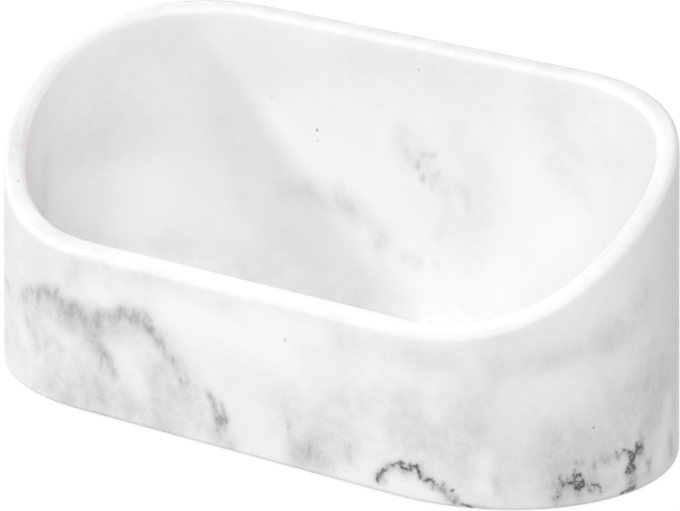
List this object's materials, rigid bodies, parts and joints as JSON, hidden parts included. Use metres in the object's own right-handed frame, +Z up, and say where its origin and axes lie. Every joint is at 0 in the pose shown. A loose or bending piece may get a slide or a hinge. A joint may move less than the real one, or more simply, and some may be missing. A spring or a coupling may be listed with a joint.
{
  "type": "vanity organizer",
  "caption": "Open oblong vanity organizer cast in white marbled resin, with round ends and a rounded rim that sweeps from a low front up to a high back, standing on stuck-on non-slip pads.",
  "frame": {"origin": "on the table, under the middle of the tray", "axes": "+X along the length, +Y from the low front to the high back, +Z up"},
  "size_m": [0.22, 0.1, 0.0997],
  "materials": {
    "marbled_resin": "satin cast resin, white with grey marble veins and clouds",
    "foot_pad": "matt foam rubber",
    "pad_adhesive": "clear adhesive film"
  },
  "bodies": {
    "root": {"basin": "marbled_resin", "foot_pad_front_left": "foot_pad", "foot_pad_front_right": "foot_pad", "foot_pad_rear_left": "foot_pad", "foot_pad_rear_right": "foot_pad", "pad_adhesive_front_left": "pad_adhesive", "pad_adhesive_front_right": "pad_adhesive", "pad_adhesive_rear_left": "pad_adhesive", "pad_adhesive_rear_right": "pad_adhesive"}
  },
  "joints": []
}
